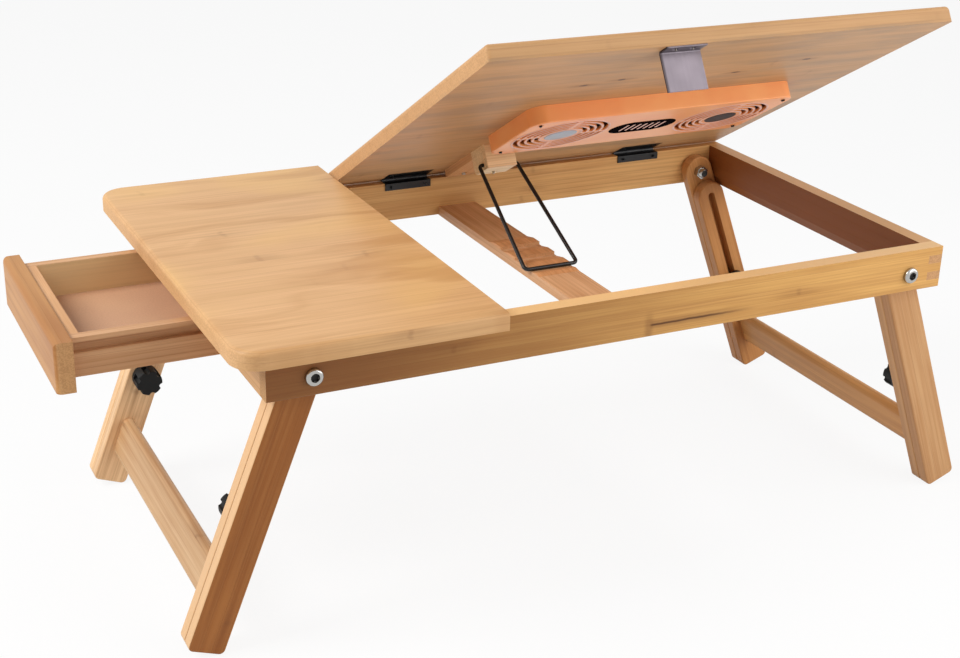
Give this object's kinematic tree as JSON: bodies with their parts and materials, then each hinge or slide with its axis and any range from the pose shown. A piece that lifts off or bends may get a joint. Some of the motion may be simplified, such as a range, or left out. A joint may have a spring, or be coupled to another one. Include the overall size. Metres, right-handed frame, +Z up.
{
  "type": "folding laptop stand with drawer",
  "caption": "Folding bamboo laptop stand: a frame on sliding, folding legs, a fixed side top over a drawer, and a tilting top with a fan unit, propped by a wire bail.",
  "frame": {"origin": "middle of the bounding box's footprint, on the surface that the feet stand on", "axes": "+X along the length, from the drawer end to the tilting top's free end; +Y from the user's side to the hinged side; +Z up"},
  "size_m": [0.6944, 0.35, 0.3853],
  "materials": {
    "bamboo": "satin lacquer on laminated bamboo",
    "bamboo_board": "satin lacquer on laminated bamboo",
    "black_steel": "black",
    "screw_steel": "zinc plated",
    "bolt_steel": "polished",
    "fibre": "matt",
    "plate_steel": "satin",
    "orange_plastic": "satin",
    "motor_plastic": "matt",
    "rotor_blue": "satin",
    "rotor_dark": "satin",
    "knob_plastic": "satin"
  },
  "bodies": {
    "frame": {"drawer_guide_far": "bamboo", "drawer_guide_near": "bamboo", "far_apron": "bamboo", "far_rail": "bamboo", "fixed_top": "bamboo_board", "hinge_pins": "black_steel", "hinge_rail_leaves": "black_steel", "hinge_tab_screws": "screw_steel", "near_apron": "bamboo", "near_rail": "bamboo", "notched_rail": "bamboo", "pivot_bolts": "bolt_steel", "pivot_nuts": "bolt_steel", "pivot_washers": "fibre", "rail_ridges": "bamboo", "right_rail": "bamboo"},
    "drawer": {"drawer_box_back": "bamboo", "drawer_box_front": "bamboo", "drawer_floor": "bamboo_board", "drawer_front": "bamboo", "drawer_side_far": "bamboo", "drawer_side_near": "bamboo"},
    "tilting_top": {"bail_block": "bamboo", "batten": "bamboo", "batten_screws": "screw_steel", "fan_case": "orange_plastic", "fan_case_screws": "screw_steel", "fan_clips": "motor_plastic", "fan_motors": "motor_plastic", "hinge_top_leaves": "black_steel", "hinge_top_screws": "screw_steel", "power_socket": "plate_steel", "stop_plate": "plate_steel", "stop_plate_screws": "screw_steel", "tilting_top": "bamboo_board"},
    "bail": {"bail": "black_steel"},
    "left_legs_upper": {"left_far_upper_leg": "bamboo", "left_knob_studs": "bolt_steel", "left_near_upper_leg": "bamboo"},
    "left_legs_sliding": {"left_far_sliding_leg": "bamboo", "left_near_sliding_leg": "bamboo", "left_stretcher": "bamboo", "left_stretcher_screws": "screw_steel"},
    "right_legs_upper": {"right_far_upper_leg": "bamboo", "right_knob_studs": "bolt_steel", "right_near_upper_leg": "bamboo"},
    "right_legs_sliding": {"right_far_sliding_leg": "bamboo", "right_near_sliding_leg": "bamboo", "right_stretcher": "bamboo", "right_stretcher_screws": "screw_steel"},
    "left_fan_rotor": {"left_fan_rotor": "rotor_blue"},
    "left_far_knob": {"left_far_knob": "knob_plastic"},
    "left_near_knob": {"left_near_knob": "knob_plastic"},
    "right_fan_rotor": {"right_fan_rotor": "rotor_dark"},
    "right_far_knob": {"right_far_knob": "knob_plastic"},
    "right_near_knob": {"right_near_knob": "knob_plastic"}
  },
  "joints": [
    {"name": "drawer_slide", "type": "slide", "parent": "frame", "child": "drawer", "axis": [1, 0, 0], "range_m": [0, 0.1005]},
    {"name": "top_tilt", "type": "hinge", "parent": "frame", "child": "tilting_top", "pos_m": [0.03142, 0.15, 0.21356], "axis": [1, 0, 0], "range_deg": [0, 30]},
    {"name": "bail_swing", "type": "hinge", "parent": "tilting_top", "child": "bail", "pos_m": [0.03142, 0.0681, 0.2437], "axis": [-1, 0, 0], "range_deg": [0, 59.7]},
    {"name": "left_legs_fold", "type": "hinge", "parent": "frame", "child": "left_legs_upper", "pos_m": [-0.20358, 0, 0.19441], "axis": [0, -1, 0], "range_deg": [0, 111]},
    {"name": "left_legs_height", "type": "slide", "parent": "left_legs_upper", "child": "left_legs_sliding", "axis": [0.3584, 0, 0.9336], "range_m": [-0.09, 0]},
    {"name": "left_near_knob_turn", "type": "hinge", "parent": "left_legs_upper", "child": "left_near_knob", "pos_m": [-0.24407, -0.1115, 0.08891], "axis": [0, 1, 0], "continuous": true},
    {"name": "left_far_knob_turn", "type": "hinge", "parent": "left_legs_upper", "child": "left_far_knob", "pos_m": [-0.24407, 0.1115, 0.08891], "axis": [0, -1, 0], "continuous": true},
    {"name": "right_legs_fold", "type": "hinge", "parent": "frame", "child": "right_legs_upper", "pos_m": [0.26292, 0, 0.19441], "axis": [0, 1, 0], "range_deg": [0, 111]},
    {"name": "right_legs_height", "type": "slide", "parent": "right_legs_upper", "child": "right_legs_sliding", "axis": [-0.3584, 0, 0.9336], "range_m": [-0.09, 0]},
    {"name": "right_near_knob_turn", "type": "hinge", "parent": "right_legs_upper", "child": "right_near_knob", "pos_m": [0.30342, -0.1115, 0.08891], "axis": [0, 1, 0], "continuous": true},
    {"name": "right_far_knob_turn", "type": "hinge", "parent": "right_legs_upper", "child": "right_far_knob", "pos_m": [0.30342, 0.1115, 0.08891], "axis": [0, -1, 0], "continuous": true},
    {"name": "left_fan_spin", "type": "hinge", "parent": "tilting_top", "child": "left_fan_rotor", "pos_m": [0.05392, 0.01347, 0.28609], "axis": [0, 0.5, 0.866], "continuous": true},
    {"name": "right_fan_spin", "type": "hinge", "parent": "tilting_top", "child": "right_fan_rotor", "pos_m": [0.19642, 0.01347, 0.28609], "axis": [0, 0.5, 0.866], "continuous": true}
  ],
  "couplings": [
    {"joint": "bail_swing", "follows": "top_tilt", "ratio": 1.99}
  ]
}
